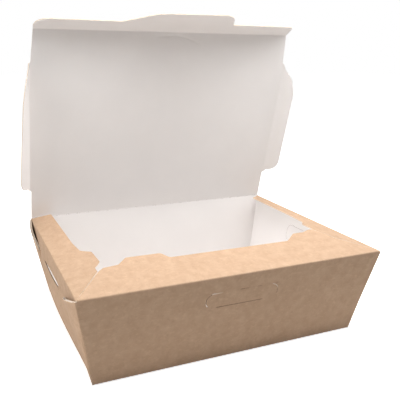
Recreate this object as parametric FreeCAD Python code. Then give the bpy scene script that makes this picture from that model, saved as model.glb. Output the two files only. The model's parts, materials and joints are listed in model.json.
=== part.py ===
import FreeCAD, Part
import math
import os

from FreeCAD import Vector

# A takeaway box of kraft board, folded from one sheet, white inside.
# Millimetres. X runs along the front, Y from the front to the hinge, Z up.
# The origin is the middle of the box's underside.

# Board and its folds
board = 0.5
crease_gap = 0.3
crease_radius = 1.0
closing_gap = 0.4

# Tray, measured over its outer faces
rim_length = 199.4
rim_width = 137.6
rim_height = 57.3
side_inset = 11.7
end_inset = 9.0

# Lid, tuck flap and ears
lid_open = 79.1
lid_hinge_trim = 0.4
lid_fold_trim = 2.1
ear_start = 22.4
ear_end = 115.5
ear_depth = 13.5
ear_step = 0.8
left_ear_fold = 52.0
right_ear_fold = 25.0
flap_depth = 16.6
flap_end_trim = 1.2
flap_round = 5.0
flap_fold = 62.0
tongue_depth = 13.5
tongue_base = 78.0
tongue_neck = 2.2
tongue_shoulder = 3.4
tongue_tip = 49.0
tongue_round = 2.5

# Ends of an ear, each corner as share of its depth, distance from that end and radius
ear_hinge_end = ((0.16, 2.2, 1.5), (0.93, 3.6, 6.0))
ear_free_end = ((1.0, 26.0, 14.0), (0.74, 11.8, 6.0), (0.24, 3.8, 4.0))

# Rim flanges, as widths in from the rim and places back from the front
side_tilt = 11.0
front_tilt = 8.3
mitre_in = 18.4
mitre_back = 22.9
mitre_gap = 0.3
mitre_round = 0.3
narrow_width = 14.9
wide_width = 22.7
nose_width = 23.1
nose_back = 33.8
nose_neck = 5.6
nose_lip = 3.0
nose_slope = 2.0
nose_round = 1.6
nose_clearance = 1.0
step_back = 55.8
step_length = 6.3
step_spread = 2.2
step_fade = 14.0
step_round = 2.5
fade_round = 12.0
rear_chamfer = 2.2
small_round = 0.8
flange_rear_trim = 1.2
low_depth = 26.9
tab_depth = 33.5
hook_depth = 36.5
tab_round = 2.5

# Corners of the front flange's two tabs, across from the tray's left and right ends
left_tab = (22.2, 31.7, 38.1, 60.2, 63.9)
right_tab = (52.2, 42.2, 33.7, 28.7)
tab_slope = 0.3

# Cuts in the walls, measured down from the rim
cut_width = 0.35
lock_length = 48.0
lock_height = 9.6
lock_drop = 10.5
slot_front = 41.5
slot_rear = 88.5
slot_drop = 10.5
slot_gape = 1.3
slot_panel_height = 12.5
cut_round = 4.5
slot_bridge = 0.8

# Bridges that hold the lock, each as place along the cut and width
lock_top_bridges = ((-7.9, 10.0), (15.8, 6.5))
lock_low_bridges = ((-20.0, 4.0), (19.5, 8.0))

# Corner webs, folded against the outside of the side walls
web_angle = 34.7
web_spring = 2.5
web_bulge = 0.07
web_crown = 0.42
web_foot = 3.0
web_top_drop = 1.7
web_overcut = 1.0
web_shoulder = (15.0, 7.6)
web_end = (29.0, 23.0)

# Sizes that follow from the ones above
floor_length = rim_length - 2 * side_inset
floor_width = rim_width - 2 * end_inset
wall_top = rim_height - board - crease_gap
lid_level = rim_height + crease_gap + board / 2
hinge_y = rim_width / 2 - board / 2
ear_crease = rim_length / 2 + closing_gap + board / 2
lid_length = rim_width / 2 + hinge_y + closing_gap + board / 2
cut_reach = side_inset + end_inset


def corner_arc(before, here, after):
    """Start, middle and end of the arc that rounds one corner of an outline."""
    point = Vector(here[0], here[1], 0)
    radius = here[2]
    if radius == 0:
        return point, None, point
    back = (Vector(before[0], before[1], 0) - point).normalize()
    ahead = (Vector(after[0], after[1], 0) - point).normalize()
    half = back.getAngle(ahead) / 2
    reach = radius / math.tan(half)
    bisector = (back + ahead).normalize()
    middle = point + bisector * (radius / math.sin(half) - radius)
    return point + back * reach, middle, point + ahead * reach


def outline_face(points):
    """Face inside a closed outline of (x, y, corner radius) points."""
    count = len(points)
    arcs = [corner_arc(points[i - 1], points[i], points[(i + 1) % count]) for i in range(count)]
    edges = []
    for i, (start, middle, end) in enumerate(arcs):
        if middle is not None:
            edges.append(Part.Arc(start, middle, end).toShape())
        following = arcs[(i + 1) % count][0]
        edges.append(Part.LineSegment(end, following).toShape())
    return Part.Face(Part.Wire(edges))


def panel(points, level):
    """Flat piece of board whose middle lies at the given level."""
    face = outline_face(points)
    face.translate(Vector(0, 0, level - board / 2))
    return face.extrude(Vector(0, 0, board))


def mirrored_points(points):
    """The outline's other half, across x = 0, in the order that closes it."""
    return [(-x, y, r) for x, y, r in reversed(points)]


def round_rectangle(length, width, radius, level):
    """Wire of a rectangle with round corners, centred on the Z axis."""
    x, y = length / 2, width / 2
    face = outline_face([(-x, -y, radius), (x, -y, radius), (x, y, radius), (-x, y, radius)])
    wire = face.OuterWire
    wire.translate(Vector(0, 0, level))
    return wire


def flared_block(inset, low, high, radius):
    """Solid that follows the tray's flare, its faces inset from the outer ones."""
    wires = []
    for level in (low, high):
        share = level / rim_height
        length = floor_length + 2 * side_inset * share - 2 * inset
        width = floor_width + 2 * end_inset * share - 2 * inset
        wires.append(round_rectangle(length, width, radius, level))
    return Part.makeLoft(wires, True, True)


def tray_shell():
    """Floor and four flared walls; the rear one reaches the lid's hinge."""
    outer = flared_block(0, 0, rim_height, crease_radius)
    inner = flared_block(board, board, rim_height, crease_radius - board)
    shell = outer.cut(inner)
    flange_room = Part.makeBox(rim_length, rim_width - flange_rear_trim, rim_height)
    flange_room.translate(Vector(-rim_length / 2, -rim_width / 2, wall_top))
    return shell.cut(flange_room)


def cut_line(length, height, bridges):
    """Closed knife cut round a panel, with uncut bridges; x across, y down from the top line."""
    inner = cut_width / 2
    outer_face = outline_face(cut_corners(length + cut_width, height + cut_width, -inner))
    inner_face = outline_face(cut_corners(length - cut_width, height - cut_width, inner))
    line = outer_face.cut(inner_face)
    for x, y, width in bridges:
        gap = Part.makePlane(width, 4 * cut_width, Vector(x - width / 2, y - 2 * cut_width, 0))
        line = line.cut(gap)
    return line


def cut_corners(length, height, top):
    """Corners of a panel cut, with round ends."""
    half = length / 2
    low = top + height
    return [(-half, top, cut_round), (half, top, cut_round),
            (half, low, cut_round), (-half, low, cut_round)]


def through_front(face):
    """Turn a flat drawing, x across and y down, into a cutter through the front wall."""
    tool = face.extrude(Vector(0, 0, cut_reach))
    tool.rotate(Vector(0, 0, 0), Vector(1, 0, 0), -90)
    tool.translate(Vector(0, -rim_width / 2 - board, rim_height))
    return tool


def through_side(face, side):
    """The same through one side wall, where x runs back from the tray's middle."""
    tool = face.extrude(Vector(0, 0, cut_reach))
    tool.rotate(Vector(0, 0, 0), Vector(1, 0, 0), -90)
    tool.rotate(Vector(0, 0, 0), Vector(0, 0, 1), 90)
    tool.translate(Vector(rim_length / 2 + board, 0, rim_height))
    if side < 0:
        tool = tool.mirror(Vector(0, 0, 0), Vector(1, 0, 0))
    return tool


def front_lock():
    """Tongue lock in the front wall, still held by its bridges."""
    bridges = [(x, 0, width) for x, width in lock_top_bridges]
    bridges += [(x, lock_height, width) for x, width in lock_low_bridges]
    line = cut_line(lock_length, lock_height, bridges)
    line.translate(Vector(0, lock_drop, 0))
    return through_front(line)


def side_slot(side):
    """Ear slot in a side wall with the cut panel under it; the left one has been opened a little."""
    length = slot_rear - slot_front
    middle = (slot_rear + slot_front - rim_width) / 2
    drawing = cut_line(length, slot_panel_height, [(0, slot_panel_height, slot_bridge * length)])
    if side < 0:
        half = length / 2 - cut_round
        gape = slot_gape / 2
        rounding = 0.9 * gape
        drawing = drawing.fuse(outline_face([(-half, -gape, rounding), (half, -gape, rounding),
                                             (half, gape, rounding), (-half, gape, rounding)]))
    drawing.translate(Vector(middle, slot_drop, 0))
    return through_side(drawing, side)


def web_point(side, end, u, v, n):
    """Point of a corner web: u back from the corner line, v up along it, n out of the side wall."""
    foot = Vector(side * floor_length / 2, end * floor_width / 2, 0)
    top = Vector(side * rim_length / 2, end * rim_width / 2, rim_height)
    along = (top - foot).normalize()
    level = Vector(0, -end, 0)
    across = (level - along * level.dot(along)).normalize()
    out = along.cross(across)
    if out.x * side < 0:
        out = out * -1
    return foot + across * u + along * v + out * n


def web_section(side, end, v, plies):
    """Closed section across one ply of a web at height v."""
    fold = v * math.tan(math.radians(web_angle))
    lift = fold * math.tan(math.radians(web_spring))
    if plies == "inner":
        places = [(0, -0.6 * board), (fold, lift), (fold, lift + board), (0, 0.4 * board)]
        corners = [web_point(side, end, u, v, n) for u, n in places]
        return Part.makePolygon(corners + corners[:1])
    hump = board + web_bulge * v
    crown = web_crown * fold
    outside = [(0, -0.8 * board), (crown, hump + board), (fold, lift + 1.8 * board)]
    inside = [(fold - 0.6 * board, lift + 0.6 * board), (crown, hump), (0.9 * board, -0.4 * board)]
    first = [web_point(side, end, u, v, n) for u, n in outside]
    second = [web_point(side, end, u, v, n) for u, n in inside]
    edges = [Part.Arc(*first).toShape(), Part.LineSegment(first[2], second[0]).toShape(),
             Part.Arc(*second).toShape(), Part.LineSegment(second[2], first[0]).toShape()]
    return Part.Wire(edges)


def web_trim(side, end):
    """Everything above the webs' curved free edge."""
    slant = math.hypot(math.hypot(side_inset, end_inset), rim_height)
    low, high = -4 * board, slant / 4
    curve = [(-web_overcut, slant - web_top_drop), (web_shoulder[0], slant - web_shoulder[1]),
             (web_end[0], slant - web_end[1])]
    roof = [(slant, slant - web_end[1]), (slant, 2 * slant), (-web_overcut, 2 * slant)]
    points = [web_point(side, end, u, v, low) for u, v in curve + roof]
    edges = [Part.Arc(*points[:3]).toShape()]
    loop = points[2:] + points[:1]
    for first, second in zip(loop, loop[1:]):
        edges.append(Part.LineSegment(first, second).toShape())
    out = web_point(side, end, 0, 0, high - low) - web_point(side, end, 0, 0, 0)
    return Part.Face(Part.Wire(edges)).extrude(out)


def corner_web(side, end):
    """Web at one corner: two plies that meet at a slanted fold and stand off the wall a little."""
    slant = math.hypot(math.hypot(side_inset, end_inset), rim_height)
    plies = []
    for name in ("inner", "outer"):
        sections = [web_section(side, end, v, name) for v in (web_foot, slant)]
        plies.append(Part.makeLoft(sections, True, True))
    return plies[0].fuse(plies[1]).cut(web_trim(side, end))


def tray():
    """Floor, walls and corner webs, folded from one sheet."""
    shape = tray_shell().cut(front_lock())
    for side in (-1, 1):
        shape = shape.cut(side_slot(side))
        for end in (-1, 1):
            shape = shape.fuse(corner_web(side, end))
    return shape.removeSplitter()


def mitre_point(w, share):
    """Point on the mitre, set back from it by half the gap on the side flange's side."""
    run = math.hypot(mitre_in, mitre_back)
    shift = mitre_gap / 2
    return w - shift * mitre_back / run * share, w * mitre_back / mitre_in + shift * mitre_in / run * share


def side_flange(side):
    """Flange along one side: narrow at the rear, wide and hooked near the front mitre."""
    start = mitre_point(mitre_gap, 1)
    end = mitre_point(mitre_in, 1)
    rear = rim_width - flange_rear_trim
    places = [(0, start[1] + 2 * mitre_gap, 0),
              (start[0], start[1] + mitre_gap, 0),
              (end[0], end[1], mitre_round),
              (mitre_in, nose_back - nose_neck, small_round),
              (nose_width - nose_slope, nose_back - nose_lip, small_round),
              (nose_width, nose_back, nose_round),
              (wide_width, step_back - step_length, step_round),
              (narrow_width + step_spread, step_back, step_round),
              (narrow_width + small_round, step_back + step_fade, fade_round),
              (narrow_width, rear - rear_chamfer, nose_round),
              (0, rear, 0)]
    points = [(side * (rim_length / 2 - w), back - rim_width / 2, r) for w, back, r in places]
    flat = panel(points, rim_height - board / 2)
    pivot = Vector(side * (rim_length / 2 - board / 2), 0, rim_height - board / 2)
    flat.rotate(pivot, Vector(0, side, 0), side_tilt)
    return flat


def front_flange():
    """Flange along the front, with a raised tab at each end and a low run between them."""
    half = rim_length / 2
    start = mitre_point(mitre_gap, -1)
    end = mitre_point(mitre_in, -1)
    neck = half - mitre_in - nose_clearance
    left = [(start[0] + mitre_gap, 0, 0),
            (end[0], end[1], mitre_round),
            (left_tab[0], low_depth - small_round, tab_round),
            (left_tab[1], low_depth + tab_slope, tab_round),
            (left_tab[2], tab_depth, tab_round),
            (left_tab[3], tab_depth - tab_slope, tab_round),
            (left_tab[4], low_depth + tab_slope, tab_round)]
    right = [(half - right_tab[0], low_depth - tab_slope, tab_round),
             (half - right_tab[1], tab_depth + small_round, tab_round),
             (half - right_tab[2], tab_depth + small_round, tab_round),
             (half - right_tab[3], hook_depth, nose_round),
             (half - nose_width - nose_clearance, hook_depth, small_round),
             (half - nose_width - nose_clearance, nose_back, small_round),
             (half - nose_width + nose_round, hook_depth - nose_neck - small_round, small_round),
             (neck, nose_back - nose_neck - nose_clearance, small_round),
             (half - end[0], end[1], mitre_round),
             (half - start[0] - mitre_gap, 0, 0)]
    places = [(x - half, back, r) for x, back, r in left] + right
    points = [(x, back - rim_width / 2, r) for x, back, r in places]
    flat = panel(points, rim_height - board / 2)
    pivot = Vector(0, board / 2 - rim_width / 2, rim_height - board / 2)
    flat.rotate(pivot, Vector(1, 0, 0), front_tilt)
    return flat


def open_lid(shape):
    """Swing a piece of the closed lid to the open pose."""
    shape.rotate(Vector(0, hinge_y, lid_level), Vector(-1, 0, 0), lid_open)
    return shape


def lid_point(x, along):
    """Place on the closed lid, along it from the hinge."""
    return x, hinge_y - along


def lid():
    """Top panel, a little wider where the ears are creased on."""
    half = rim_length / 2
    ear_line = ear_crease - crease_gap
    edge = [(half - lid_hinge_trim, crease_gap, 0),
            (half - lid_hinge_trim, ear_start - ear_step, 0),
            (ear_line, ear_start, 0),
            (ear_line, ear_end, 0),
            (half - lid_hinge_trim, ear_end + ear_step, 0),
            (half - lid_fold_trim, lid_length - crease_gap, 0)]
    points = [lid_point(x, along) + (r,) for x, along, r in edge + mirrored_points(edge)]
    return open_lid(panel(points, lid_level))


def ear(side, fold):
    """Ear along one side of the lid: square at the hinge end, a curved shoulder at the other."""
    root = ear_crease + crease_gap
    edge = [(root, ear_start, 0)]
    edge += [(ear_crease + share * ear_depth, ear_start + run, r) for share, run, r in ear_hinge_end]
    edge += [(ear_crease + share * ear_depth, ear_end - run, r) for share, run, r in ear_free_end]
    edge += [(root, ear_end, 0)]
    points = [lid_point(side * x, along) + (r,) for x, along, r in edge]
    flat = panel(points, lid_level)
    flat.rotate(Vector(side * ear_crease, 0, lid_level), Vector(0, side, 0), fold)
    return open_lid(flat)


def tuck_flap():
    """Flap at the lid's front edge, with the tongue that the front lock takes."""
    half = rim_length / 2 - lid_fold_trim
    flap_end = lid_length + flap_depth
    edge = [(half, lid_length + crease_gap, 0),
            (half - flap_end_trim, flap_end, flap_round),
            (tongue_base / 2, flap_end, small_round),
            (tongue_base / 2 - tongue_neck, flap_end + tongue_shoulder, tongue_round),
            (tongue_tip / 2, flap_end + tongue_depth, tongue_round)]
    points = [lid_point(x, along) + (r,) for x, along, r in edge + mirrored_points(edge)]
    flat = panel(points, lid_level)
    flat.rotate(Vector(0, hinge_y - lid_length, lid_level), Vector(1, 0, 0), flap_fold)
    return open_lid(flat)


pieces = {
    "tray": tray(),
    "left_flange": side_flange(-1),
    "right_flange": side_flange(1),
    "front_flange": front_flange(),
    "lid": lid(),
    "tuck_flap": tuck_flap(),
    "left_ear": ear(-1, left_ear_fold),
    "right_ear": ear(1, right_ear_fold),
}
os.makedirs("parts", exist_ok=True)
for name, shape in pieces.items():
    shape.exportStep("parts/" + name + ".step")
    box = shape.BoundBox
    print(name, "solids", len(shape.Solids), "valid", shape.isValid(), "volume", round(shape.Volume, 1))
    print("   x", round(box.XMin, 2), round(box.XMax, 2), "y", round(box.YMin, 2), round(box.YMax, 2),
          "z", round(box.ZMin, 2), round(box.ZMax, 2))
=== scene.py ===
import json
import math

import bmesh
import bpy
from mathutils import Matrix, Vector


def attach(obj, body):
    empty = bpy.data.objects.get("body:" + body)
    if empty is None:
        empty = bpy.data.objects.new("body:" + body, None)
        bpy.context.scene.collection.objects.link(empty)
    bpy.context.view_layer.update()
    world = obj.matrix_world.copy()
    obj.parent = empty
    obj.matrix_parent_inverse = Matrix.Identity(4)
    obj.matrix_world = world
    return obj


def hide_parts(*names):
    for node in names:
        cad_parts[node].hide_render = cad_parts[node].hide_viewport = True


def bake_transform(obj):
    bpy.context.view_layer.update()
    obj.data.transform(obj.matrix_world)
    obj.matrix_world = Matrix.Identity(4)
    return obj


bl_info = {
    "name": "Takeaway Box",
    "version": (1, 0, 0),
    "blender": (4, 5, 0),
    "location": "View3D > Sidebar > Takeaway Box",
    "description": "Kraft board food box: folded tray, rim flanges, lid, ears and tuck flap",
    "category": "Object",
}

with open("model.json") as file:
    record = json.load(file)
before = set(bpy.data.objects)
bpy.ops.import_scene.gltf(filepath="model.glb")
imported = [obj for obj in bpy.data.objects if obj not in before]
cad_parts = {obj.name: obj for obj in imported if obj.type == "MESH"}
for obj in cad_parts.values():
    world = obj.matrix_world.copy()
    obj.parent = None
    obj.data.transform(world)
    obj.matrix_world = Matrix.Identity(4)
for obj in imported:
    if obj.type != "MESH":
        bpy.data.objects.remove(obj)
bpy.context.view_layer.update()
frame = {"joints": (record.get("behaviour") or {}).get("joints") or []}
MM = 0.001
KRAFT, WHITE, CUT, KNIFE_SHADE = 0, 1, 2, 3
JOINTS = {joint["name"]: joint for joint in frame["joints"]}
# The turn from which an edge is sharp, the turn of an arc's steps, and the weld distance in mm
SHARP = math.radians(40)
ARC_STEP = math.radians(12)
WELD = 0.002


def hinge_point(name):
    """Where a joint's axis lies, in millimetres."""
    return Vector(JOINTS[name]["pos_m"]) / MM


# Properties that a user would change


class BoxSizes(bpy.types.PropertyGroup):
    board: bpy.props.FloatProperty(
        name="Board", description="Thickness of the board",
        default=0.0005, min=0.0003, max=0.001, unit="LENGTH", precision=5)
    rim_length: bpy.props.FloatProperty(
        name="Rim length", description="Length of the rim over the side walls",
        default=0.1994, min=0.1, max=0.4, unit="LENGTH", precision=4)
    rim_width: bpy.props.FloatProperty(
        name="Rim width", description="Width of the rim, front to rear",
        default=0.1376, min=0.08, max=0.3, unit="LENGTH", precision=4)
    rim_height: bpy.props.FloatProperty(
        name="Rim height", description="Height of the rim above the table",
        default=0.0573, min=0.02, max=0.15, unit="LENGTH", precision=4)
    side_inset: bpy.props.FloatProperty(
        name="Side flare", description="How far each side wall leans out over its height",
        default=0.0117, min=0.0, max=0.03, unit="LENGTH", precision=4)
    end_inset: bpy.props.FloatProperty(
        name="End flare", description="How far the front and rear walls lean out over their height",
        default=0.009, min=0.0, max=0.03, unit="LENGTH", precision=4)
    crease_reach: bpy.props.FloatProperty(
        name="Crease reach", description="How far a crease's bend reaches each side of its line",
        default=0.00055, min=0.0003, max=0.002, unit="LENGTH", precision=5)
    perforations: bpy.props.IntProperty(
        name="Perforations", description="How many short cuts run along the lid's hinge",
        default=25, min=5, max=60)
    perforation_length: bpy.props.FloatProperty(
        name="Perforation length", description="Length of each short cut",
        default=0.003, min=0.001, max=0.006, unit="LENGTH", precision=4)
    web_angle: bpy.props.FloatProperty(
        name="Web fold", description="Angle of each corner web's slanted fold from the corner line",
        default=math.radians(34.7), subtype="ANGLE")
    web_bulge: bpy.props.FloatProperty(
        name="Web bulge", description="How far each corner web bellies out, a share of its height",
        default=0.035, min=0.0, max=0.15)
    web_spring: bpy.props.FloatProperty(
        name="Web spring", description="Angle at which each corner web stands off the side wall",
        default=math.radians(3.5), subtype="ANGLE")


class BoxColours(bpy.types.PropertyGroup):
    kraft: bpy.props.FloatVectorProperty(
        name="Kraft", description="Uncoated brown face of the board",
        subtype="COLOR", size=3, min=0, max=1, default=(0.54, 0.365, 0.242))
    kraft_dark: bpy.props.FloatVectorProperty(
        name="Kraft, dark", description="Darker clouds and fibres of the brown face",
        subtype="COLOR", size=3, min=0, max=1, default=(0.465, 0.305, 0.193))
    white: bpy.props.FloatVectorProperty(
        name="White", description="Coated white face of the board",
        subtype="COLOR", size=3, min=0, max=1, default=(0.85, 0.815, 0.795))
    cut: bpy.props.FloatVectorProperty(
        name="Cut edge", description="Pale core of the board where it is cut",
        subtype="COLOR", size=3, min=0, max=1, default=(0.8, 0.66, 0.52))


class BoxStage(bpy.types.PropertyGroup):
    lens: bpy.props.FloatProperty(
        name="Lens", description="Focal length of the camera, in millimetres",
        default=45.14, min=20, max=120)
    top_power: bpy.props.FloatProperty(
        name="Top", description="Power of the soft light above the tray",
        default=1.16, min=0, subtype="POWER")
    near_left_power: bpy.props.FloatProperty(
        name="Near left", description="Power of the small light in front of the lid, on the left",
        default=0.18, min=0, subtype="POWER")
    near_right_power: bpy.props.FloatProperty(
        name="Near right", description="Power of the small light in front of the lid, on the right",
        default=0.43, min=0, subtype="POWER")
    side_power: bpy.props.FloatProperty(
        name="Sides", description="Power of each large light to the left and right",
        default=3.9, min=0, subtype="POWER")
    front_power: bpy.props.FloatProperty(
        name="Front", description="Power of the large low light in front",
        default=0.12, min=0, subtype="POWER")
    back_power: bpy.props.FloatProperty(
        name="Back", description="Power of the large light behind the lid",
        default=2.0, min=0, subtype="POWER")
    dome: bpy.props.FloatProperty(
        name="Dome", description="Strength of the light from all round",
        default=0.04, min=0)


# Board geometry, in millimetres


class Sheet:
    """Pieces of board collected into one mesh."""

    def __init__(self, thickness):
        self.mesh = bmesh.new()
        self.thickness = thickness

    def add(self, flat, surface, flip=False):
        """Give flat cells their place and thickness. The kraft face is on the side of du x dv."""
        for vert in flat.verts:
            vert.co = surface(vert.co.x, vert.co.y)
        self.add_placed(flat, flip)

    def add_placed(self, flat, flip=False):
        """Give cells that are in place their thickness."""
        if flip:
            bmesh.ops.reverse_faces(flat, faces=flat.faces[:])
        flat.normal_update()
        half = self.thickness / 2
        outer, inner = {}, {}
        for vert in flat.verts:
            outer[vert] = self.mesh.verts.new(vert.co + vert.normal * half)
            inner[vert] = self.mesh.verts.new(vert.co - vert.normal * half)
        for face in flat.faces:
            self.face([outer[v] for v in face.verts], KRAFT)
            self.face([inner[v] for v in reversed(face.verts)], WHITE)
        for edge in flat.edges:
            if not edge.is_boundary:
                continue
            loop = edge.link_loops[0]
            a, b = loop.vert, loop.link_loop_next.vert
            # Thin cuts get the knife-cut finish, whose dark colour is partly painted shade of the
            # crevice.
            self.face([outer[b], outer[a], inner[a], inner[b]], KNIFE_SHADE if edge.seam else CUT)
        flat.free()

    def face(self, verts, material):
        face = self.mesh.faces.new(verts)
        face.material_index = material
        face.smooth = True

    def finish(self, name):
        """Turn what was collected into an object with its material slot."""
        piece = self.piece(name)
        return piece

    def piece(self, name):
        """Turn what was collected into an object, in metres, with sharp edges where it turns."""
        self.mesh.normal_update()
        for edge in self.mesh.edges:
            faces = edge.link_faces
            edge.smooth = len(faces) == 2 and faces[0].normal.angle(faces[1].normal, 0) < SHARP
        bmesh.ops.scale(self.mesh, vec=(MM, MM, MM), verts=self.mesh.verts)
        data = bpy.data.meshes.new(name)
        self.mesh.to_mesh(data)
        self.mesh.free()
        piece = bpy.data.objects.new(name, data)
        bpy.context.scene.collection.objects.link(piece)
        for material in finishes():
            data.materials.append(material)
        return piece


def grid(us, vs):
    """Flat cells over every pair of neighbouring values."""
    mesh = bmesh.new()
    rows = [[mesh.verts.new((u, v, 0)) for u in us] for v in vs]
    for low, high in zip(rows, rows[1:]):
        for i in range(len(us) - 1):
            mesh.faces.new((low[i], low[i + 1], high[i + 1], high[i]))
    return mesh


def steps(start, end, count):
    """Evenly spaced values, ends included."""
    return [start + (end - start) * i / count for i in range(count + 1)]


def rounded(points):
    """Outline of (x, y, radius) corners with its arcs drawn in."""
    outline = []
    count = len(points)
    for i, (x, y, radius) in enumerate(points):
        here = Vector((x, y))
        if not radius:
            outline.append(here)
            continue
        back = (Vector(points[i - 1][:2]) - here).normalized()
        ahead = (Vector(points[(i + 1) % count][:2]) - here).normalized()
        half = back.angle(ahead) / 2
        centre = here + (back + ahead).normalized() * (radius / math.sin(half))
        first = here + back * (radius / math.tan(half)) - centre
        last = here + ahead * (radius / math.tan(half)) - centre
        turn = first.angle_signed(last)
        pieces = max(2, round(abs(turn) / ARC_STEP))
        for k in range(pieces + 1):
            spun = first.copy()
            spun.rotate(Matrix.Rotation(-turn * k / pieces, 2))
            outline.append(centre + spun)
    return outline


def filled(loops):
    """Flat faces inside the first loop, with the other loops left open."""
    mesh = bmesh.new()
    for loop in loops:
        verts = [mesh.verts.new((x, y, 0)) for x, y in loop]
        for first, second in zip(verts, verts[1:] + verts[:1]):
            mesh.edges.new((first, second))
    bmesh.ops.triangle_fill(mesh, edges=mesh.edges[:], use_beauty=True)
    return mesh


def sliced(mesh, columns, rows):
    """Cut flat faces along the lines of a grid, and turn them all upwards."""
    for axis, levels in ((0, columns), (1, rows)):
        normal = Vector((1 - axis, axis, 0))
        for level in levels:
            geometry = mesh.verts[:] + mesh.edges[:] + mesh.faces[:]
            bmesh.ops.bisect_plane(
                mesh, geom=geometry, dist=1e-4, plane_co=normal * level, plane_no=normal)
    mesh.normal_update()
    down = [face for face in mesh.faces if face.normal.z < 0]
    bmesh.ops.reverse_faces(mesh, faces=down)
    return mesh


def cut_cells(outline, pitch, fine=((), ())):
    """Flat cells inside an outline, small enough to be curved, with more lines where fine says."""
    lines = []
    for axis in (0, 1):
        values = [point[axis] for point in outline]
        low, high = min(values), max(values)
        lines.append(steps(low, high, int((high - low) / pitch) + 1)[1:-1] + list(fine[axis]))
    return sliced(filled([outline]), *lines)


def wall_cells(columns, rows, holes):
    """Flat cells of a wall between its first and last column and row. Seams mark its thin cuts."""
    left, right, low, high = columns[0], columns[-1], rows[0], rows[-1]
    mesh = filled([[(left, low), (right, low), (right, high), (left, high)]] + holes)
    sliced(mesh, columns[1:-1], rows[1:-1])
    near = 1e-5
    for edge in mesh.edges:
        x, y = ((edge.verts[0].co + edge.verts[1].co) / 2)[:2]
        inside = left + near < x < right - near and low + near < y < high - near
        edge.seam = edge.is_boundary and inside
    return mesh


def knife_cuts(length, height, radius, width, held):
    """Thin loops along a round rectangle's line, except where held(x, y) says that it is uncut."""
    x, y = length / 2, height / 2
    corners = rounded([(-x, -y, radius), (x, -y, radius), (x, y, radius), (-x, y, radius)])
    path = []
    for first, second in zip(corners, corners[1:] + corners[:1]):
        count = max(1, round((second - first).length))
        path += [first.lerp(second, i / count) for i in range(count)]
    start = next(i for i, point in enumerate(path) if held(point.x, point.y))
    path = path[start:] + path[:start + 1]
    runs, run = [], []
    for point in path:
        if held(point.x, point.y):
            if len(run) > 2:
                runs.append(run)
            run = []
        else:
            run.append(point)
    loops = []
    for run in runs:
        sides = ([], [])
        for i in range(1, len(run) - 1):
            ahead = (run[i + 1] - run[i - 1]).normalized()
            across = Vector((-ahead.y, ahead.x)) * width / 2
            sides[0].append(run[i] + across)
            sides[1].append(run[i] - across)
        loops.append([run[0]] + sides[0] + [run[-1]] + sides[1][::-1])
    return loops


def bend(toward, away, reach, share):
    """Place on a crease's round, from its corner: share 0 is reach before it, 1 is reach after."""
    turn = toward.angle(away)
    radius = reach / math.tan(turn / 2)
    side = (away - toward * away.dot(toward)).normalized()
    centre = side * radius - toward * reach
    angle = turn * share
    return centre + (toward * math.sin(angle) - side * math.cos(angle)) * radius


class Tray:
    """Places on the folded tray, in millimetres."""

    def __init__(self, sizes):
        self.board = sizes.board / MM
        self.half_length = sizes.rim_length / MM / 2
        self.half_width = sizes.rim_width / MM / 2
        self.height = sizes.rim_height / MM
        self.side = sizes.side_inset / MM
        self.end = sizes.end_inset / MM
        self.reach = sizes.crease_reach / MM
        self.angle = sizes.web_angle
        self.bulge = sizes.web_bulge
        self.spring = sizes.web_spring
        self.slant = math.sqrt(self.side ** 2 + self.end ** 2 + self.height ** 2)

    def half_at(self, z):
        """Half the outer length at a height."""
        return self.half_length - self.side * (1 - z / self.height)

    def depth_at(self, z):
        """Half the outer width at a height."""
        return self.half_width - self.end * (1 - z / self.height)

    def profile(self):
        """Middle of the board along front wall, floor and rear wall, as (y, z) places."""
        middle = self.board / 2
        round_floor = 0.8
        lean = math.atan2(self.end, self.height)
        places = []
        foot = self.depth_at(0) - middle * math.cos(lean) + middle * math.tan(lean)
        start = Vector((foot + round_floor * math.tan(lean), middle + round_floor))
        end = Vector((foot - round_floor, middle))
        corner = Vector((foot, middle))
        for sign in (-1, 1):
            top = self.height - middle - self.reach if sign < 0 else self.height
            levels = steps(round_floor + middle, top, 22)
            wall = [(foot + (z - middle) * math.tan(lean), z) for z in levels]
            curve = []
            for share in steps(0, 1, 8)[1:]:
                a = start.lerp(corner, share)
                b = corner.lerp(end, share)
                curve.append(a.lerp(b, share)[:])
            places.append([(sign * y, z) for y, z in wall[::-1] + curve])
        floor = [(y, middle) for y in steps(places[0][-1][0], places[1][-1][0], 40)[1:-1]]
        return places[0] + floor + places[1][::-1]

    def web_point(self, side, end, u, v, n):
        """Place at a corner: u back from its line, v up along it, n out of the side wall."""
        foot = Vector((side * self.half_at(0), end * self.depth_at(0), 0))
        top = Vector((side * self.half_length, end * self.half_width, self.height))
        along = (top - foot).normalized()
        level = Vector((0, -end, 0))
        across = (level - along * level.dot(along)).normalized()
        out = along.cross(across)
        if out.x * side < 0:
            out.negate()
        return foot + across * u + along * v + out * n


# Finishes


def finishes():
    """The board's finishes: kraft face, white face, cut edge, and knife cut with painted shade."""
    names = ("kraft_face", "white_face", "cut_edge", "knife_cut_painted_shade")
    if names[0] in bpy.data.materials:
        return [bpy.data.materials[name] for name in names]
    colours = bpy.context.scene.box_colours
    return [kraft_face(colours), white_face(colours), cut_edge(colours), knife_cut_painted_shade(colours)]


def node(tree, kind, inputs):
    """New node with each of the given inputs linked or given its value."""
    made = tree.nodes.new(kind)
    for key, value in inputs.items():
        if isinstance(value, bpy.types.NodeSocket):
            tree.links.new(value, made.inputs[key])
        else:
            made.inputs[key].default_value = value
    return made


def new_material(name, roughness):
    """Material with its nodes, its shader and the coordinates that its patterns read."""
    material = bpy.data.materials.new(name)
    material.use_nodes = True
    tree = material.node_tree
    shader = tree.nodes["Principled BSDF"]
    shader.inputs["Roughness"].default_value = roughness
    return material, tree, shader, node(tree, "ShaderNodeTexCoord", {}).outputs["Object"]


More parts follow.
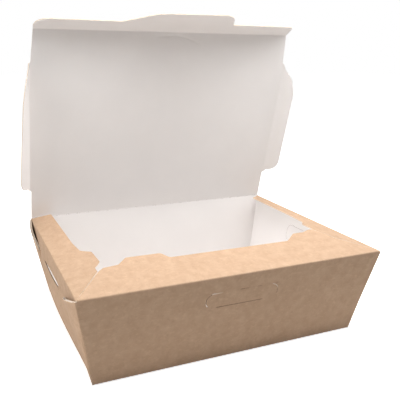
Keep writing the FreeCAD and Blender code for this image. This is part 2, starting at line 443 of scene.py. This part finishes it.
def noise(tree, place, scale, detail, stretch=None):
    """Value of a noise pattern, with an optional stretch."""
    if stretch:
        inputs = {"Scale": stretch, "Vector": place}
        place = node(tree, "ShaderNodeMapping", inputs).outputs["Vector"]
    inputs = {"Scale": scale, "Detail": detail, "Vector": place}
    return node(tree, "ShaderNodeTexNoise", inputs).outputs["Fac"]


def remap(tree, value, low, high, to_low=0.0, to_high=1.0):
    """Stretch a value to a new range and clamp it there."""
    return node(tree, "ShaderNodeMapRange", {
        "Value": value, "From Min": low, "From Max": high, "To Min": to_low, "To Max": to_high,
    }).outputs["Result"]


def mix(tree, factor, first, second):
    """Mixed colour of a colour or socket and a second colour."""
    if not isinstance(first, bpy.types.NodeSocket):
        first = (*first, 1)
    mixed = node(tree, "ShaderNodeMix", {0: factor, 6: first, 7: (*second, 1)})
    mixed.data_type = "RGBA"
    return mixed.outputs[2]


def bump(tree, shader, height, strength):
    """Fine relief from a height pattern."""
    inputs = {"Strength": strength, "Distance": 0.0001, "Height": height}
    relief = node(tree, "ShaderNodeBump", inputs)
    tree.links.new(relief.outputs["Normal"], shader.inputs["Normal"])


def kraft_face(colours):
    """Uncoated brown paper: soft clouds, short fibres and fine dark specks."""
    material, tree, shader, place = new_material("kraft_face", 0.82)
    clouds = remap(tree, noise(tree, place, 190, 8), 0.28, 0.74)
    colour = mix(tree, clouds, colours.kraft_dark, colours.kraft)
    fibres = remap(tree, noise(tree, place, 700, 5, (0.6, 1.0, 1.0)), 0.52, 0.72, 0.0, 0.3)
    colour = mix(tree, fibres, colour, [min(1, c * 1.25) for c in colours.kraft])
    cross = remap(tree, noise(tree, place, 620, 5, (1.0, 0.6, 0.8)), 0.55, 0.75, 0.0, 0.35)
    colour = mix(tree, cross, colour, [c * 0.8 for c in colours.kraft_dark])
    tree.links.new(colour, shader.inputs["Base Color"])
    bump(tree, shader, noise(tree, place, 900, 6), 0.25)
    return material


def white_face(colours):
    """White coated face, faintly uneven and a little smoother than the brown one."""
    material, tree, shader, place = new_material("white_face", 0.5)
    shader.inputs["Specular IOR Level"].default_value = 0.35
    soft = remap(tree, noise(tree, place, 45, 4), 0.3, 0.7)
    colour = mix(tree, soft, [c * 0.975 for c in colours.white], colours.white)
    tree.links.new(colour, shader.inputs["Base Color"])
    bump(tree, shader, noise(tree, place, 650, 4), 0.12)
    return material


def grained(name, first, second):
    """Rough board of two finely mixed colours."""
    material, tree, shader, place = new_material(name, 0.9)
    grain = remap(tree, noise(tree, place, 1600, 3), 0.3, 0.7)
    tree.links.new(mix(tree, grain, first, second), shader.inputs["Base Color"])
    return material


def cut_edge(colours):
    """Pale core where the board was cut."""
    return grained("cut_edge", [c * 0.9 for c in colours.cut], colours.cut)


def knife_cut_painted_shade(colours):
    """Dark board inside a thin cut: partly crushed board, partly painted shade of the narrow
    crevice.
    """
    dark = [c * 0.3 for c in colours.kraft_dark]
    return grained("knife_cut_painted_shade", dark, [c * 0.4 for c in colours.kraft])


# Tray


def lens_shape(place, start, end):
    """1 in the middle of a stretch and 0 at its ends and beyond."""
    share = (place - start) / (end - start)
    if share <= 0 or share >= 1:
        return 0.0
    return math.sin(math.pi * share) ** 0.8


# Cuts in the walls, in millimetres. Bridges hold them: the lock's on its top and bottom lines.
LOCK = {"length": 48.0, "height": 9.6, "drop": 10.5, "round": 4.5, "width": 0.24,
        "top_held": ((-12.9, -2.9), (12.55, 19.05)), "low_held": ((-22.0, -18.0), (15.5, 23.5)),
        "pale": (-20.5, 25.1), "ends_out": 0.5, "middle_in": 0.2}
SLOT = {"front": 41.5, "rear": 88.5, "height": 12.5, "drop": 10.5, "round": 4.5, "width": 0.1,
        "held": 0.4, "panel_in": 0.15}
# The left wall has been opened: it bows out, and its slot lies lower and gapes.
OPENED = {"bow": 4.6, "bow_low": 0.85, "drop": 2.5, "front": 0.7, "panel_out": 0.45,
          "panel_down": 0.2, "lip_in": 0.8, "lip_up": 0.1}
# The round at a side wall's foot: its height, and how far it draws the wall in.
FOOT = {"height": 1.2, "draw": 0.5}


def lock_held(x, y):
    """Whether the lock's line is uncut here; y is up from its middle."""
    bridges = LOCK["top_held"] if y > 0 else LOCK["low_held"]
    level = abs(y) > LOCK["height"] / 2 - 1.5
    return level and any(low <= x <= high for low, high in bridges)


def lock_nick(x, down):
    """Whether the lock's pale lifted edge shows here."""
    left, right = LOCK["top_held"][0][0], LOCK["top_held"][1][1]
    start, end = LOCK["pale"]
    return down < 3 and (start < x < left or right < x < end)


def lock_push(x, down):
    """How far the lock's panel stands out: its ends lift and its middle is pressed in."""
    half = LOCK["length"] / 2
    if not (0 < down < LOCK["height"] and abs(x) < half):
        return 0.0
    (left, middle), (right, last) = LOCK["top_held"]
    ends = lens_shape(x, -half - 4, left) + lens_shape(x, last, half + 4)
    top = LOCK["ends_out"] * ends - LOCK["middle_in"] * lens_shape(x, middle, right)
    return top * (1 - down / LOCK["height"]) ** 2


def add_bottom_and_ends(sheet, tray):
    """Front wall with its lock, floor and rear wall in one run of board."""
    profile = tray.profile()
    joint = next(i for i, (y, z) in enumerate(profile) if z < 2)
    columns = steps(-1, 1, 60)
    rest = grid(columns, range(joint, len(profile)))
    for vert in rest.verts:
        y, z = profile[round(vert.co.y)]
        vert.co = Vector((vert.co.x * tray.half_at(z), y, z))
    wall_y, wall_z = profile[joint]
    lean = (profile[0][0] - wall_y) / (profile[0][1] - wall_z)
    lock_top = tray.height - LOCK["drop"]
    middle = lock_top - LOCK["height"] / 2
    cuts = knife_cuts(LOCK["length"], LOCK["height"], LOCK["round"], LOCK["width"], lock_held)
    holes = [[(x / tray.half_at(y + middle), y + middle) for x, y in loop] for loop in cuts]
    wall = wall_cells(columns, [z for y, z in profile[:joint + 1]][::-1], holes)
    for edge in wall.edges:
        share, z = edge.verts[0].co[:2]
        if edge.seam and lock_nick(share * tray.half_at(z), lock_top - z):
            edge.seam = False
    for vert in wall.verts:
        z = vert.co.y
        x = vert.co.x * tray.half_at(z)
        push = lock_push(x, lock_top - z)
        vert.co = Vector((x, wall_y + lean * (z - wall_z) - push, z))
    join(wall, rest)
    sheet.add_placed(wall)


def join(first, second):
    """Turn the second mesh over, add it to the first and weld them where they meet."""
    bmesh.ops.reverse_faces(second, faces=second.faces[:])
    data = bpy.data.meshes.new("part")
    second.to_mesh(data)
    second.free()
    first.from_mesh(data)
    bpy.data.meshes.remove(data)
    bmesh.ops.remove_doubles(first, verts=first.verts[:], dist=WELD)


def slot_held(x, y):
    """Whether the ear slot's line is uncut here; y is up from its middle."""
    return y < 0 and abs(x) < SLOT["held"] * (SLOT["rear"] - SLOT["front"])


def add_side_wall(sheet, tray, side):
    """Side wall with its ear slot. The left one has been opened and bows out."""
    opened = side < 0
    length = SLOT["rear"] - SLOT["front"]
    middle = (SLOT["rear"] + SLOT["front"]) / 2 - tray.half_width
    top = tray.height - tray.board / 2 - tray.reach
    slot = tray.height - SLOT["drop"] - (OPENED["drop"] if opened else 0.0)
    cuts = knife_cuts(length, SLOT["height"], SLOT["round"], SLOT["width"], slot_held)
    holes = []
    for loop in cuts:
        places = [(x + middle, y + slot - SLOT["height"] / 2) for x, y in loop]
        holes.append([(y / (tray.depth_at(z) - tray.board), z) for y, z in places])
    flat = wall_cells(steps(-1, 1, 46), steps(0.0, slot, 16) + steps(slot, top, 6)[1:], holes)
    for vert in flat.verts:
        share, z = vert.co.x, vert.co.y
        y = share * (tray.depth_at(z) - tray.board)
        along = min(1, max(0, (y - middle) / length + 0.5))
        lens = math.sin(math.pi * along ** (OPENED["front"] if opened else 1.0))
        inside = slot - SLOT["height"] < z < slot and 0 < along < 1
        lift, level = 0.0, z
        if opened:
            rise = math.sin(math.pi * (z / top) ** OPENED["bow_low"])
            lift = OPENED["bow"] * (1 - share ** 2) * rise
        if inside:
            near = ((z - slot) / SLOT["height"] + 1) ** 2
            lift += (OPENED["panel_out"] if opened else -SLOT["panel_in"]) * lens * near
            level -= (OPENED["panel_down"] if opened else 0.0) * lens * near
        elif opened and z >= slot:
            near = 1 - ((z - slot) / (top - slot)) ** 1.5
            lift -= OPENED["lip_in"] * lens * near
            level += OPENED["lip_up"] * lens * near
        x = tray.half_at(level) - tray.board / 2 + lift
        if level < FOOT["height"]:
            x -= FOOT["draw"] * (FOOT["height"] - level) ** 2 / FOOT["height"]
        vert.co = Vector((side * x, y, max(level, tray.board / 2)))
    sheet.add_placed(flat, side < 0)


# Places on a corner web's free edge: back from the corner line, and down from its top
WEB_SHOULDER = (13.0, 7.6)
WEB_LAST = (29.0, 18.0)
# Where a web starts above its foot, as a share of its height
WEB_START = 0.006


def free_edge(tray, share):
    """How far out from the web's foot its free edge lies, for a share of the fold's angle."""
    top = tray.slant * (tray.height - tray.board / 2 - tray.reach) / tray.height
    angle = share * tray.angle
    near = Vector((0.0, top))
    shoulder = Vector((WEB_SHOULDER[0], tray.slant - WEB_SHOULDER[1]))
    last = Vector((WEB_LAST[0], tray.slant - WEB_LAST[1]))
    control = shoulder * 2 - (near + last) / 2
    best = None
    for t in steps(0, 1, 200):
        point = near * (1 - t) ** 2 + control * 2 * t * (1 - t) + last * t ** 2
        gap = abs(math.atan2(point.x, point.y) - angle)
        if best is None or gap < best[0]:
            best = (gap, point.length)
    return best[1]


def web_offset(tray, u, v):
    """How far the web's outer ply stands off the side wall."""
    share = math.atan2(u, v) / tray.angle if v > 0 else 0
    crown = math.sin(math.pi * min(1, max(0, share)) ** 0.8) ** 1.2
    return 1.5 * tray.board + u * math.tan(tray.spring) + tray.bulge * v * crown


def add_corner_web(sheet, tray, side, end):
    """Two plies outside the side wall, folded on a slanted line: one strip round the corner."""
    apart = tray.board
    radius = 1.5 * apart
    rays = [(share, free_edge(tray, share)) for share in steps(0, 1, 16)]
    columns = []
    for share in steps(0, 1, 6):
        turn = share * math.pi / 2
        place = (apart / 2 + radius * (1 - math.cos(turn)), radius * math.sin(turn))
        columns.append((lambda v, place=place: place, rays[0][1], 0.0))
    for share, length in rays[1:]:
        angle = share * tray.angle

        def outer(v, angle=angle):
            u = v * math.tan(angle)
            return u, web_offset(tray, u, v)

        columns.append((outer, length, angle))
    for share in steps(0, 1, 6)[1:-1]:
        turn = share * math.pi

        def hairpin(v, turn=turn):
            u = v * math.tan(tray.angle)
            middle = web_offset(tray, u, v) - apart
            return u + apart * math.sin(turn), middle + apart * math.cos(turn)

        columns.append((hairpin, rays[-1][1], tray.angle))
    for share, length in rays[::-1][:-1]:
        angle = share * tray.angle

        def inner(v, angle=angle):
            u = v * math.tan(angle)
            return u, max(apart, web_offset(tray, u, v) - 2 * apart)

        columns.append((inner, length, angle))
    flat = grid(range(len(columns)), steps(WEB_START, 1, 26))
    for vert in flat.verts:
        place, length, angle = columns[round(vert.co.x)]
        v = vert.co.y * length * math.cos(angle)
        u, n = place(v)
        vert.co = tray.web_point(side, end, u, v, n)
    sheet.add_placed(flat, flip=side * end > 0)


class BOX_OT_tray(bpy.types.Operator):
    """Build the folded tray: floor, walls and corner webs"""

    bl_idname = "box.tray"
    bl_label = "Tray"

    def execute(self, context):
        tray = Tray(context.scene.box_sizes)
        sheet = Sheet(tray.board)
        add_bottom_and_ends(sheet, tray)
        for side in (-1, 1):
            add_side_wall(sheet, tray, side)
            for end in (-1, 1):
                add_corner_web(sheet, tray, side, end)
        piece = sheet.finish("tray_board")
        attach(piece, "tray")
        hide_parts("tray")
        return {"FINISHED"}


# Rim flanges


# Outlines, as (x, y, radius) corners in millimetres
REAR_CORNERS = {"left_flange": 134.2, "right_flange": 123.0}
FRONT_LEFT = (
    (0.47, 0.3, 0), (18.54, 23.0, 0.2), (22.2, 26.1, 2.5), (31.7, 27.2, 2.5), (38.1, 33.5, 2.5),
    (60.2, 33.2, 2.5), (63.9, 27.2, 2.5))
FRONT_RIGHT = (
    (52.2, 26.6, 2.5), (42.2, 34.3, 2.5), (33.7, 34.3, 2.5), (28.7, 36.5, 1.6), (24.1, 36.5, 0.8),
    (24.1, 33.8, 0.8), (21.5, 30.1, 0.8), (19.4, 27.2, 0.8), (18.54, 23.0, 0.2), (0.47, 0.3, 0))


def side_outline(rear):
    """Side flange: width in from the rim, and place back from the front. Rear is an end corner."""
    return rounded([
        (0.3, 0.42, 0), (18.5, 23.03, 0.2), (18.5, 28.2, 0.8), (21.1, 30.8, 0.8), (23.1, 33.8, 1.6),
        (22.7, 49.5, 2.5), (17.1, 55.8, 2.5), (15.7, 69.8, 12.0), (14.9, rear, 1.6),
        (0.3, 136.4, 0)])


def front_outline(length):
    """Front flange: place across from the left end, and width in from the rim."""
    right = [(length - x, width, radius) for x, width, radius in FRONT_RIGHT]
    return rounded(list(FRONT_LEFT) + right)


def flange_fold(body, level):
    """A rim flange's hinge and the way that it runs from there, level being the way when flat."""
    tilt = math.radians(-JOINTS[body + "_fold"]["range_deg"][0])
    return hinge_point(body + "_fold"), level * math.cos(tilt) + Vector((0, 0, math.sin(tilt)))


def panel(tray, body, outline, surface, flip=False, pitch=4.0, fine=((), ())):
    """One panel of board on its own body."""
    sheet = Sheet(tray.board)
    sheet.add(cut_cells(outline, pitch, fine), surface, flip)
    piece = sheet.finish(body + "_board")
    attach(piece, body)
    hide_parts(body)


class BOX_OT_flanges(bpy.types.Operator):
    """Build the three rim flanges"""

    bl_idname = "box.flanges"
    bl_label = "Rim flanges"

    def execute(self, context):
        tray = Tray(context.scene.box_sizes)
        for side, body in ((-1, "left_flange"), (1, "right_flange")):
            hinge, away = flange_fold(body, Vector((-side, 0, 0)))

            def surface(width, back, hinge=hinge, away=away):
                reach = max(width - tray.board / 2, tray.reach)
                return hinge + away * reach + Vector((0, back - tray.half_width, 0))

            panel(tray, body, side_outline(REAR_CORNERS[body]), surface, flip=side > 0)
        hinge, away = flange_fold("front_flange", Vector((0, 1, 0)))

        def front(x, width):
            reach = max(width - tray.board / 2, tray.reach)
            return hinge + away * reach + Vector((x - tray.half_length, 0, 0))

        panel(tray, "front_flange", front_outline(2 * tray.half_length), front)
        return {"FINISHED"}


def crease_strip(tray, bodies, ends, toward, away, flip=False, pieces=90):
    """Round of board along a fold line, bending between two bodies. Away may change along it."""
    start, end = ends
    ahead = away if callable(away) else lambda share: away

    def surface(u, v):
        return start.lerp(end, u) + bend(toward, ahead(u), tray.reach, v)

    sheet = Sheet(tray.board)
    sheet.add(grid(steps(0, 1, pieces), steps(0, 1, 10)), surface, flip)
    piece = sheet.finish(bodies[1] + "_crease")
    middle = (start + end) / 2
    last = (middle + ahead(0.5) * tray.reach) * MM
    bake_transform(piece)


# How far the creases of the rim flanges stop short of the corners
CREASE_SHORT = {"front": 1.0, "rear": 1.2, "side": 0.6}


class BOX_OT_creases(bpy.types.Operator):
    """Build the rounds of board between the walls and the rim flanges"""

    bl_idname = "box.creases"
    bl_label = "Creases"

    def execute(self, context):
        tray = Tray(context.scene.box_sizes)
        for side, body in ((-1, "left_flange"), (1, "right_flange")):
            hinge, away = flange_fold(body, Vector((-side, 0, 0)))
            toward = Vector((side * tray.side, 0, tray.height)).normalized()
            ends = (hinge + Vector((0, CREASE_SHORT["front"] - tray.half_width, 0)),
                    hinge + Vector((0, tray.half_width - CREASE_SHORT["rear"], 0)))
            crease_strip(tray, ("tray", body), ends, toward, away, flip=side < 0)
        hinge, away = flange_fold("front_flange", Vector((0, 1, 0)))
        toward = Vector((0, -tray.end, tray.height)).normalized()
        half = Vector((tray.half_length - CREASE_SHORT["side"], 0, 0))
        crease_strip(tray, ("tray", "front_flange"), (hinge - half, hinge + half), toward, away)
        return {"FINISHED"}


# Perforated hinge: how much shorter than the rim it is, and where a cut lies across its round

HINGE_SHORT = 1.0
HINGE_CUT = (0.4, 0.6)


def row_tree():
    """Geometry Nodes that repeat a tile along X, weld the copies and give them their finishes."""
    tree = bpy.data.node_groups.new("tile_row", "GeometryNodeTree")
    sockets = tree.interface
    sockets.new_socket("Geometry", in_out="INPUT", socket_type="NodeSocketGeometry")
    sockets.new_socket("Count", in_out="INPUT", socket_type="NodeSocketInt")
    sockets.new_socket("Pitch", in_out="INPUT", socket_type="NodeSocketFloat")
    sockets.new_socket("Geometry", in_out="OUTPUT", socket_type="NodeSocketGeometry")
    given = node(tree, "NodeGroupInput", {}).outputs
    offset = node(tree, "ShaderNodeCombineXYZ", {"X": given["Pitch"]}).outputs["Vector"]
    line = node(tree, "GeometryNodeMeshLine", {"Count": given["Count"], "Offset": offset})
    copies = node(tree, "GeometryNodeInstanceOnPoints", {
        "Points": line.outputs["Mesh"], "Instance": given["Geometry"]})
    real = node(tree, "GeometryNodeRealizeInstances", {"Geometry": copies.outputs["Instances"]})
    made = node(tree, "GeometryNodeMergeByDistance", {
        "Geometry": real.outputs["Geometry"], "Distance": 1e-6}).outputs["Geometry"]
    kind = node(tree, "GeometryNodeInputMaterialIndex", {}).outputs[0]
    for index, material in enumerate(finishes()):
        same = tree.nodes.new("FunctionNodeCompare")
        same.data_type = "INT"
        same.operation = "EQUAL"
        same.inputs[3].default_value = index
        tree.links.new(kind, same.inputs[2])
        made = node(tree, "GeometryNodeSetMaterial", {
            "Geometry": made, "Selection": same.outputs[0], "Material": material,
        }).outputs["Geometry"]
    node(tree, "NodeGroupOutput", {0: made})
    return tree


def repeat(piece, count, pitch):
    """Replace a piece's mesh by a row of count copies of it."""
    tree = row_tree()
    sockets = tree.interface.items_tree
    names = {item.name: item.identifier for item in sockets if item.in_out == "INPUT"}
    modifier = piece.modifiers.new("row", "NODES")
    modifier.node_group = tree
    modifier[names["Count"]] = count
    modifier[names["Pitch"]] = pitch
    view = bpy.context.evaluated_depsgraph_get()
    data = bpy.data.meshes.new_from_object(piece.evaluated_get(view))
    piece.modifiers.remove(modifier)
    piece.data = data


def close_ends(piece):
    """Close a row's two open ends with cut edge and turn all faces outwards."""
    mesh = bmesh.new()
    mesh.from_mesh(piece.data)
    open_edges = [edge for edge in mesh.edges if edge.is_boundary]
    for face in bmesh.ops.holes_fill(mesh, edges=open_edges, sides=0)["faces"]:
        face.material_index = CUT
        for edge in face.edges:
            edge.smooth = False
    bmesh.ops.recalc_face_normals(mesh, faces=mesh.faces[:])
    mesh.to_mesh(piece.data)
    mesh.free()


class BOX_OT_hinge(bpy.types.Operator):
    """Build the lid's crease with its row of perforations"""

    bl_idname = "box.hinge"
    bl_label = "Perforated hinge"

    def execute(self, context):
        sizes = context.scene.box_sizes
        tray = Tray(sizes)
        hinge, up = lid_frame()[:2]
        toward = Vector((0, tray.end, tray.height)).normalized()
        length = 2 * tray.half_length - HINGE_SHORT
        pitch = length / sizes.perforations
        dash = sizes.perforation_length / MM
        left = hinge - Vector((length / 2, 0, 0))
        near, far = (pitch - dash) / 2, (pitch + dash) / 2
        low, high = HINGE_CUT
        gap = [(near, low), (far, low), (far, high), (near, high)]

        def surface(x, share):
            return left + Vector((x, 0, 0)) + bend(toward, up, tray.reach, share)

        sheet = Sheet(tray.board)
        sheet.add(wall_cells(steps(0, pitch, 4), steps(0, 1, 10), [gap]), surface, flip=True)
        ends = []
        for face in sheet.mesh.faces:
            places = [vert.co.x - left.x for vert in face.verts]
            if max(places) < 0.001 or min(places) > pitch - 0.001:
                ends.append(face)
        bmesh.ops.delete(sheet.mesh, geom=ends, context="FACES_ONLY")
        piece = sheet.piece("lid_crease")
        repeat(piece, sizes.perforations, pitch * MM)
        close_ends(piece)
        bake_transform(piece)
        return {"FINISHED"}


# Lid, tuck flap and ears, in millimetres

EAR_START, EAR_END = 22.4, 115.5
EAR_LEDGE = 0.35
LID_INSET = 0.4
FLAP_INSET = 2.1
LEFT_TWIST = math.radians(22)
# The tongue's mark: its depth, its width, where its arc is highest and how far down that lies
MARK = {"depth": 0.5, "width": 0.7, "x": 2.0, "down": 2.8, "from": -12, "to": 25,
        "left": 0.0066, "right": 0.0115}


def lid_frame():
    """The open lid's corner on its hinge, its direction up the lid and out of its white face."""
    opened = math.radians(-JOINTS["lid_hinge"]["range_deg"][0])
    up = Vector((0, -math.cos(opened), math.sin(opened)))
    inward = Vector((0, -math.sin(opened), -math.cos(opened)))
    return hinge_point("lid_hinge"), up, inward


def tongue_mark(x, down):
    """Depth of the curved mark that the folded tongue has left in the lid, down from the fold."""
    side = x - MARK["x"]
    arc = MARK["down"] + side ** 2 * (MARK["left"] if side < 0 else MARK["right"])
    shape = math.exp(-((down - arc) / MARK["width"]) ** 2)
    return MARK["depth"] * lens_shape(x, MARK["from"], MARK["to"]) * shape


class BOX_OT_lid(bpy.types.Operator):
    """Build the lid's top panel, its tuck flap with the tongue, and its ears"""

    bl_idname = "box.lid"
    bl_label = "Lid, tuck flap and ears"

    def execute(self, context):
        tray = Tray(context.scene.box_sizes)
        hinge, up, inward = lid_frame()
        length = (hinge_point("tuck_flap_fold") - hinge).length
        self.top(tray, hinge, up, inward, length)
        self.flap(tray, up, inward)
        for side, body in ((-1, "left_ear"), (1, "right_ear")):
            self.ear(tray, side, body)
        return {"FINISHED"}

    def top(self, tray, hinge, up, inward, length):
        """Top panel, with a ledge along each side where the ears fold."""
        inner, outer = tray.half_length - LID_INSET, tray.half_length + EAR_LEDGE
        edge = [(inner, tray.reach, 0), (inner, EAR_START - 0.8, 0), (outer, EAR_START, 0),
                (outer, EAR_END, 0), (inner, EAR_END + 0.8, 0),
                (tray.half_length - FLAP_INSET, length - tray.reach, 0)]
        outline = rounded(edge + [(-x, v, radius) for x, v, radius in reversed(edge)])

        def surface(x, v):
            return hinge + Vector((x, 0, 0)) + up * v - inward * tongue_mark(x, length - v)

        fine = (steps(-20, 26, 23), steps(length - 9, length - 1, 14))
        panel(tray, "lid", outline, surface, flip=True, fine=fine)

    def flap(self, tray, up, inward):
        """Tuck flap with the tongue, and its crease."""
        fold = math.radians(-JOINTS["tuck_flap_fold"]["range_deg"][0])
        away = up * math.cos(fold) + inward * math.sin(fold)
        corner = hinge_point("tuck_flap_fold")
        half, reach = tray.half_length, tray.reach
        outline = rounded([
            (half - FLAP_INSET, reach, 0), (half - 8.0, 16.9, 6.0), (40.4, 17.2, 1.5),
            (31.5, 34.2, 12.0), (-21.5, 32.6, 20.0), (-42.0, 17.4, 8.0), (2.4 - half, 18.2, 9.0),
            (1.4 - half, 5.0, 3.0), (FLAP_INSET - half, reach, 0)])

        def surface(x, v):
            return corner + Vector((x, 0, 0)) + away * v

        panel(tray, "tuck_flap", outline, surface, flip=True)
        across = Vector((half - FLAP_INSET, 0, 0))
        ends = (corner - across, corner + across)
        crease_strip(tray, ("lid", "tuck_flap"), ends, up, away, flip=True)

    def ear(self, tray, side, body):
        """One ear and its crease. The left ear is twisted along its length."""
        hinge, up, inward = lid_frame()
        reach, length = tray.reach, EAR_END - EAR_START
        fold = math.radians(-JOINTS[body + "_fold"]["range_deg"][0])
        twist = LEFT_TWIST if side < 0 else 0.0
        root = Vector((hinge_point(body + "_fold").x, hinge.y, hinge.z))

        def away(v):
            share = min(1, max(0, (v - EAR_START) / length))
            angle = fold + twist * (share ** 1.4 - 0.1)
            return Vector((side * math.cos(angle), 0, 0)) + inward * math.sin(angle)

        outline = rounded([
            (reach, EAR_START, 0), (2.0, EAR_START + 2.0, 1.5), (11.6, EAR_START + 3.6, 8.5),
            (12.6, EAR_END - 23.5, 20.0), (9.3, EAR_END - 11.6, 10.0), (2.6, EAR_END - 4.1, 5.0),
            (reach, EAR_END, 0)])

        def surface(width, v):
            return root + up * v + away(v) * width

        panel(tray, body, outline, surface, flip=side > 0, pitch=3.0)
        crease_strip(tray, ("lid", body), (root + up * EAR_START, root + up * EAR_END),
                     Vector((side, 0, 0)), lambda share: away(EAR_START + share * length),
                     flip=side < 0, pieces=40)


# Stage, in metres

FLOOR_HALF = 4.0
FLOOR_DROP = 0.0002
LAMP_TARGET = Vector((0.0, 0.0, 0.05))
# The camera that was fitted to the photograph
CAMERA_PLACE = (-0.15339, -0.29368, 0.17804)
CAMERA_YAW, CAMERA_PITCH, CAMERA_ROLL = 0.36535, 0.23456, 0.01054
CAMERA_SHIFT = (0.1569, -0.0659)


def floor_material(name):
    """Pale floor that keeps a faint shadow near the box and looks white farther away."""
    material = bpy.data.materials.new(name)
    material.use_nodes = True
    tree = material.node_tree
    tree.nodes.clear()
    place = node(tree, "ShaderNodeTexCoord", {}).outputs["Object"]
    away = node(tree, "ShaderNodeVectorMath", {0: place})
    away.operation = "LENGTH"
    strength = remap(tree, away.outputs["Value"], 0.15, 0.6, 0.7, 1.0)
    diffuse = node(tree, "ShaderNodeBsdfDiffuse", {"Color": (0.8, 0.79, 0.78, 1)}).outputs[0]
    glow = node(tree, "ShaderNodeEmission", {"Strength": strength}).outputs[0]
    seen = node(tree, "ShaderNodeAddShader", {0: diffuse, 1: glow}).outputs[0]
    node(tree, "ShaderNodeOutputMaterial", {0: for_camera(tree, diffuse, seen)})
    return material


def for_camera(tree, other, seen):
    """One shader for what the camera sees directly and another for all other light."""
    path = node(tree, "ShaderNodeLightPath", {}).outputs["Is Camera Ray"]
    return node(tree, "ShaderNodeMixShader", {0: path, 1: other, 2: seen}).outputs[0]


class BOX_OT_stage(bpy.types.Operator):
    """Set the floor, the lights and the camera"""

    bl_idname = "box.stage"
    bl_label = "Stage"

    def execute(self, context):
        stage = context.scene.box_stage
        self.floor()
        for name, place, size, power in (
                ("top", (0.0, -0.065, 0.45), 0.25, stage.top_power),
                ("near_left", (-0.094, -0.094, 0.307), 0.12, stage.near_left_power),
                ("near_right", (0.16, -0.06, 0.33), 0.2, stage.near_right_power),
                ("left", (-0.75, -0.05, 0.4), 0.5, stage.side_power),
                ("right", (0.75, -0.05, 0.4), 0.5, stage.side_power),
                ("front", (0.3, -0.9, 0.25), 0.6, stage.front_power),
                ("back", (0.0, 0.9, 0.5), 0.6, stage.back_power)):
            self.light(name, place, size, power)
        self.world(context, stage.dome)
        self.camera(context, stage.lens)
        context.scene.view_settings.view_transform = "Standard"
        return {"FINISHED"}

    def floor(self):
        """Wide plain floor, a hair below the box."""
        data = bpy.data.meshes.new("floor")
        corners = [(-FLOOR_HALF, -FLOOR_HALF, 0), (FLOOR_HALF, -FLOOR_HALF, 0),
                   (FLOOR_HALF, FLOOR_HALF, 0), (-FLOOR_HALF, FLOOR_HALF, 0)]
        data.from_pydata(corners, [], [(0, 1, 2, 3)])
        data.materials.append(floor_material("floor"))
        floor = bpy.data.objects.new("floor", data)
        bpy.context.scene.collection.objects.link(floor)
        floor.location.z = -FLOOR_DROP

    def light(self, name, place, size, power):
        """Round soft light that faces the box."""
        data = bpy.data.lights.new(name, "AREA")
        data.shape = "DISK"
        data.size = size
        data.energy = power
        lamp = bpy.data.objects.new(name, data)
        bpy.context.scene.collection.objects.link(lamp)
        lamp.location = place
        lamp.rotation_euler = (LAMP_TARGET - Vector(place)).to_track_quat("-Z", "Y").to_euler()

    def world(self, context, strength):
        """Faint light from all round that looks white to the camera."""
        world = bpy.data.worlds.new("studio")
        context.scene.world = world
        world.use_nodes = True
        tree = world.node_tree
        tree.nodes.clear()
        lights = []
        for power in (strength, 1.0):
            inputs = {"Color": (1, 1, 1, 1), "Strength": power}
            lights.append(node(tree, "ShaderNodeBackground", inputs).outputs[0])
        node(tree, "ShaderNodeOutputWorld", {0: for_camera(tree, *lights)})

    def camera(self, context, lens):
        """Camera where the photograph was taken from."""
        data = bpy.data.cameras.new("camera")
        data.lens = lens
        data.sensor_width = 36
        data.shift_x, data.shift_y = CAMERA_SHIFT
        data.clip_start = 0.01
        camera = bpy.data.objects.new("camera", data)
        context.scene.collection.objects.link(camera)
        ahead = Vector((math.sin(CAMERA_YAW), math.cos(CAMERA_YAW), 0)) * math.cos(CAMERA_PITCH)
        forward = ahead - Vector((0, 0, math.sin(CAMERA_PITCH)))
        right = Vector((math.cos(CAMERA_YAW), -math.sin(CAMERA_YAW), 0))
        up = right.cross(forward)
        spun_right = right * math.cos(CAMERA_ROLL) + up * math.sin(CAMERA_ROLL)
        spun_up = up * math.cos(CAMERA_ROLL) - right * math.sin(CAMERA_ROLL)
        turn = Matrix((spun_right, spun_up, -forward)).transposed().to_4x4()
        camera.matrix_world = Matrix.Translation(CAMERA_PLACE) @ turn
        context.scene.camera = camera


class BOX_PT_panel(bpy.types.Panel):
    """Buttons and values of the takeaway box"""

    bl_idname = "BOX_PT_panel"
    bl_label = "Takeaway Box"
    bl_space_type = "VIEW_3D"
    bl_region_type = "UI"
    bl_category = "Takeaway Box"

    def draw(self, context):
        layout = self.layout
        for group in (context.scene.box_sizes, context.scene.box_colours, context.scene.box_stage):
            column = layout.column()
            for name in group.__annotations__:
                column.prop(group, name)
        for operator in OPERATORS:
            layout.operator(operator.bl_idname)


GROUPS = (BoxSizes, BoxColours, BoxStage)
OPERATORS = (BOX_OT_tray, BOX_OT_flanges, BOX_OT_creases, BOX_OT_hinge, BOX_OT_lid, BOX_OT_stage)


def register():
    for item in GROUPS + OPERATORS + (BOX_PT_panel,):
        bpy.utils.register_class(item)
    bpy.types.Scene.box_sizes = bpy.props.PointerProperty(type=BoxSizes)
    bpy.types.Scene.box_colours = bpy.props.PointerProperty(type=BoxColours)
    bpy.types.Scene.box_stage = bpy.props.PointerProperty(type=BoxStage)


def unregister():
    del bpy.types.Scene.box_stage, bpy.types.Scene.box_colours, bpy.types.Scene.box_sizes
    for item in (BOX_PT_panel,) + OPERATORS[::-1] + GROUPS[::-1]:
        bpy.utils.unregister_class(item)


def main():
    register()
    bpy.ops.box.tray()
    bpy.ops.box.flanges()
    bpy.ops.box.creases()
    bpy.ops.box.hinge()
    bpy.ops.box.lid()
    bpy.ops.box.stage()


if __name__ == "__main__":
    main()
